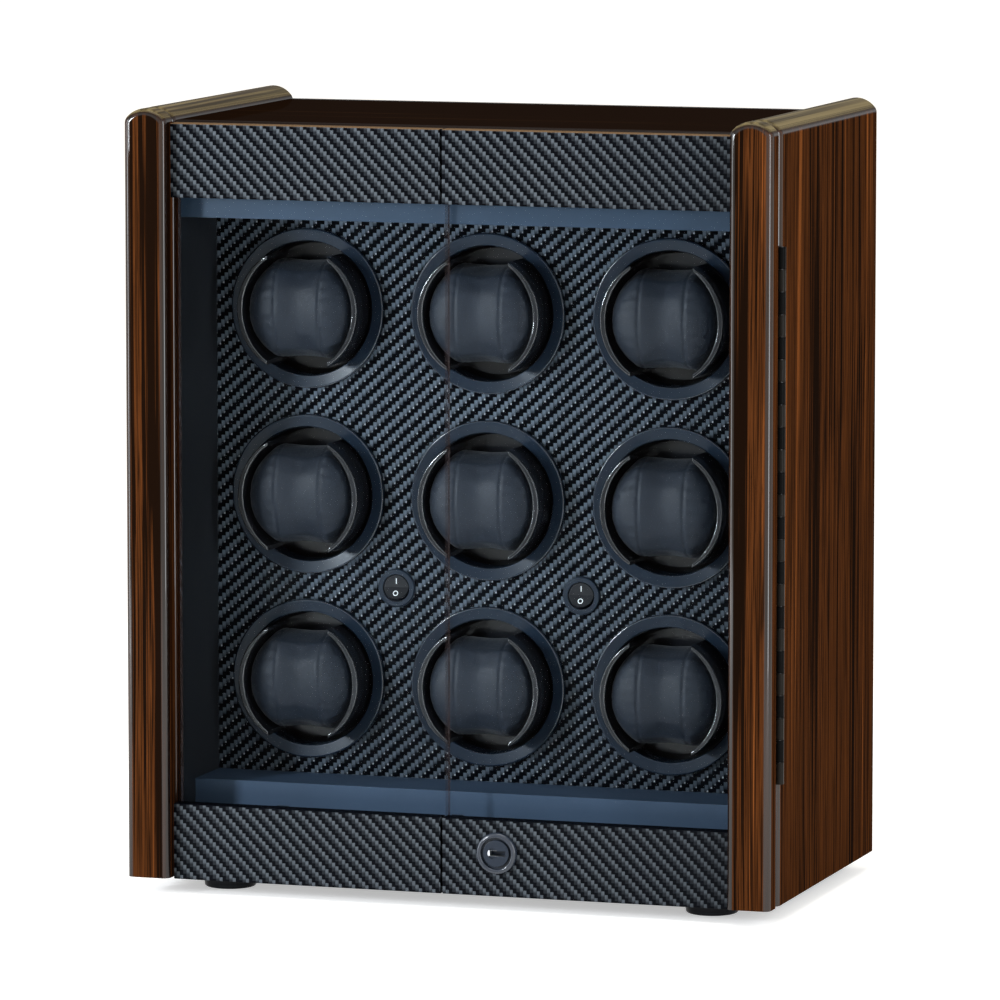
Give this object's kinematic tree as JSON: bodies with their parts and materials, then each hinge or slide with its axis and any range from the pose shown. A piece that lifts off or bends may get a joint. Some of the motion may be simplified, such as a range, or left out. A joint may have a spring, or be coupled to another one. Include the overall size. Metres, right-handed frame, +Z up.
{
  "type": "watch winder box",
  "caption": "Upright watch winder cabinet: arched gloss wood sides, two locking glass doors on piano hinges, and a carbon-fibre panel of turning cushion cups.",
  "frame": {"origin": "under the middle of the cabinet, on the plane of the feet", "axes": "+Z up, doors face -Y, +X to the right seen from the front"},
  "size_m": [0.3936, 0.2214, 0.456],
  "materials": {
    "ebony_veneer": "striped dark brown veneer under thick gloss lacquer",
    "top_lacquer": "dark brown veneer under gloss lacquer",
    "carbon_rail": "carbon-fibre twill under clear gloss resin",
    "carbon_panel": "carbon-fibre twill, satin",
    "satin_lining": "satin blue-grey film",
    "dark_lining": "dark satin film",
    "pane_glass": "clear float glass",
    "black_gloss": "moulded gloss black plastic",
    "black_satin": "moulded satin black plastic",
    "cushion_leather": "fine-grained black leather",
    "hinge_black": "black-painted steel",
    "lock_black": "black-nickelled zinc",
    "lock_steel": "bare steel",
    "foot_black": "gloss black with a soft underside",
    "board_raw": "painted board",
    "circuit_green": "circuit board",
    "motor_steel": "zinc-plated steel"
  },
  "bodies": {
    "cabinet": {"back_panel": "board_raw", "back_screws": "motor_steel", "base_panel": "dark_lining", "bezel_rings": "black_satin", "control_board": "circuit_green", "door_magnets": "black_satin", "feet": "foot_black", "gear_motors": "motor_steel", "header_lining": "satin_lining", "hinge_pins": "lock_steel", "left_hinge_frame_leaf": "hinge_black", "left_lining": "dark_lining", "left_side_panel": "ebony_veneer", "lock_strike": "lock_steel", "motor_board": "board_raw", "plinth_lining": "satin_lining", "power_jack": "black_satin", "right_hinge_frame_leaf": "hinge_black", "right_lining": "dark_lining", "right_side_panel": "ebony_veneer", "rotor_panel": "carbon_panel", "switch_housings": "black_satin", "top_panel": "top_lacquer"},
    "left_door": {"left_stile": "ebony_veneer", "left_top_rail": "carbon_rail", "left_bottom_rail": "carbon_rail", "left_glass": "pane_glass", "left_glass_clips": "black_satin", "left_catch_plate": "lock_steel", "left_hinge_door_leaf": "hinge_black"},
    "right_door": {"right_stile": "ebony_veneer", "right_top_rail": "carbon_rail", "right_bottom_rail": "carbon_rail", "right_glass": "pane_glass", "right_glass_clips": "black_satin", "right_catch_plate": "lock_steel", "right_hinge_door_leaf": "hinge_black", "lock_body": "lock_black"},
    "lock_core": {"lock_plug": "lock_black", "lock_cam": "lock_steel"},
    "left_rocker": {"left_rocker": "black_gloss"},
    "right_rocker": {"right_rocker": "black_gloss"},
    "rotor_top_left": {"rotor_cup_top_left": "black_gloss"},
    "cushion_top_left": {"cushion_top_left": "cushion_leather"},
    "rotor_top_middle": {"rotor_cup_top_middle": "black_gloss"},
    "cushion_top_middle": {"cushion_top_middle": "cushion_leather"},
    "rotor_top_right": {"rotor_cup_top_right": "black_gloss"},
    "cushion_top_right": {"cushion_top_right": "cushion_leather"},
    "rotor_middle_left": {"rotor_cup_middle_left": "black_gloss"},
    "cushion_middle_left": {"cushion_middle_left": "cushion_leather"},
    "rotor_middle_middle": {"rotor_cup_middle_middle": "black_gloss"},
    "cushion_middle_middle": {"cushion_middle_middle": "cushion_leather"},
    "rotor_middle_right": {"rotor_cup_middle_right": "black_gloss"},
    "cushion_middle_right": {"cushion_middle_right": "cushion_leather"},
    "rotor_bottom_left": {"rotor_cup_bottom_left": "black_gloss"},
    "cushion_bottom_left": {"cushion_bottom_left": "cushion_leather"},
    "rotor_bottom_middle": {"rotor_cup_bottom_middle": "black_gloss"},
    "cushion_bottom_middle": {"cushion_bottom_middle": "cushion_leather"},
    "rotor_bottom_right": {"rotor_cup_bottom_right": "black_gloss"},
    "cushion_bottom_right": {"cushion_bottom_right": "cushion_leather"}
  },
  "joints": [
    {"name": "left_door_hinge", "type": "hinge", "parent": "cabinet", "child": "left_door", "pos_m": [-0.1943, -0.09345, 0.233], "axis": [0, 0, -1], "range_deg": [0, 180]},
    {"name": "right_door_hinge", "type": "hinge", "parent": "cabinet", "child": "right_door", "pos_m": [0.1943, -0.09345, 0.233], "axis": [0, 0, 1], "range_deg": [0, 180]},
    {"name": "lock_turn", "type": "hinge", "parent": "right_door", "child": "lock_core", "pos_m": [0.0291, -0.10125, 0.0338], "axis": [0, -1, 0], "range_deg": [0, 90]},
    {"name": "left_switch_rock", "type": "hinge", "parent": "cabinet", "child": "left_rocker", "pos_m": [-0.05636, -0.02635, 0.17405], "axis": [1, 0, 0], "range_deg": [0, 24]},
    {"name": "right_switch_rock", "type": "hinge", "parent": "cabinet", "child": "right_rocker", "pos_m": [0.05636, -0.02635, 0.17405], "axis": [1, 0, 0], "range_deg": [0, 24]},
    {"name": "rotor_spin_top_left", "type": "hinge", "parent": "cabinet", "child": "rotor_top_left", "pos_m": [-0.11031, -0.02675, 0.33611], "axis": [0, 1, 0], "continuous": true},
    {"name": "rotor_spin_top_middle", "type": "hinge", "parent": "cabinet", "child": "rotor_top_middle", "pos_m": [0, -0.02675, 0.33611], "axis": [0, 1, 0], "continuous": true},
    {"name": "rotor_spin_top_right", "type": "hinge", "parent": "cabinet", "child": "rotor_top_right", "pos_m": [0.11031, -0.02675, 0.33611], "axis": [0, 1, 0], "continuous": true},
    {"name": "rotor_spin_middle_left", "type": "hinge", "parent": "cabinet", "child": "rotor_middle_left", "pos_m": [-0.11031, -0.02675, 0.2274], "axis": [0, 1, 0], "continuous": true},
    {"name": "rotor_spin_middle_middle", "type": "hinge", "parent": "cabinet", "child": "rotor_middle_middle", "pos_m": [0, -0.02675, 0.2274], "axis": [0, 1, 0], "continuous": true},
    {"name": "rotor_spin_middle_right", "type": "hinge", "parent": "cabinet", "child": "rotor_middle_right", "pos_m": [0.11031, -0.02675, 0.2274], "axis": [0, 1, 0], "continuous": true},
    {"name": "rotor_spin_bottom_left", "type": "hinge", "parent": "cabinet", "child": "rotor_bottom_left", "pos_m": [-0.11031, -0.02675, 0.11869], "axis": [0, 1, 0], "continuous": true},
    {"name": "rotor_spin_bottom_middle", "type": "hinge", "parent": "cabinet", "child": "rotor_bottom_middle", "pos_m": [0, -0.02675, 0.11869], "axis": [0, 1, 0], "continuous": true},
    {"name": "rotor_spin_bottom_right", "type": "hinge", "parent": "cabinet", "child": "rotor_bottom_right", "pos_m": [0.11031, -0.02675, 0.11869], "axis": [0, 1, 0], "continuous": true},
    {"name": "cushion_slide_top_left", "type": "slide", "parent": "rotor_top_left", "child": "cushion_top_left", "axis": [0, -1, 0], "range_m": [0, 0.033]},
    {"name": "cushion_slide_top_middle", "type": "slide", "parent": "rotor_top_middle", "child": "cushion_top_middle", "axis": [0, -1, 0], "range_m": [0, 0.033]},
    {"name": "cushion_slide_top_right", "type": "slide", "parent": "rotor_top_right", "child": "cushion_top_right", "axis": [0, -1, 0], "range_m": [0, 0.033]},
    {"name": "cushion_slide_middle_left", "type": "slide", "parent": "rotor_middle_left", "child": "cushion_middle_left", "axis": [0, -1, 0], "range_m": [0, 0.033]},
    {"name": "cushion_slide_middle_middle", "type": "slide", "parent": "rotor_middle_middle", "child": "cushion_middle_middle", "axis": [0, -1, 0], "range_m": [0, 0.033]},
    {"name": "cushion_slide_middle_right", "type": "slide", "parent": "rotor_middle_right", "child": "cushion_middle_right", "axis": [0, -1, 0], "range_m": [0, 0.033]},
    {"name": "cushion_slide_bottom_left", "type": "slide", "parent": "rotor_bottom_left", "child": "cushion_bottom_left", "axis": [0, -1, 0], "range_m": [0, 0.033]},
    {"name": "cushion_slide_bottom_middle", "type": "slide", "parent": "rotor_bottom_middle", "child": "cushion_bottom_middle", "axis": [0, -1, 0], "range_m": [0, 0.033]},
    {"name": "cushion_slide_bottom_right", "type": "slide", "parent": "rotor_bottom_right", "child": "cushion_bottom_right", "axis": [0, -1, 0], "range_m": [0, 0.033]}
  ]
}
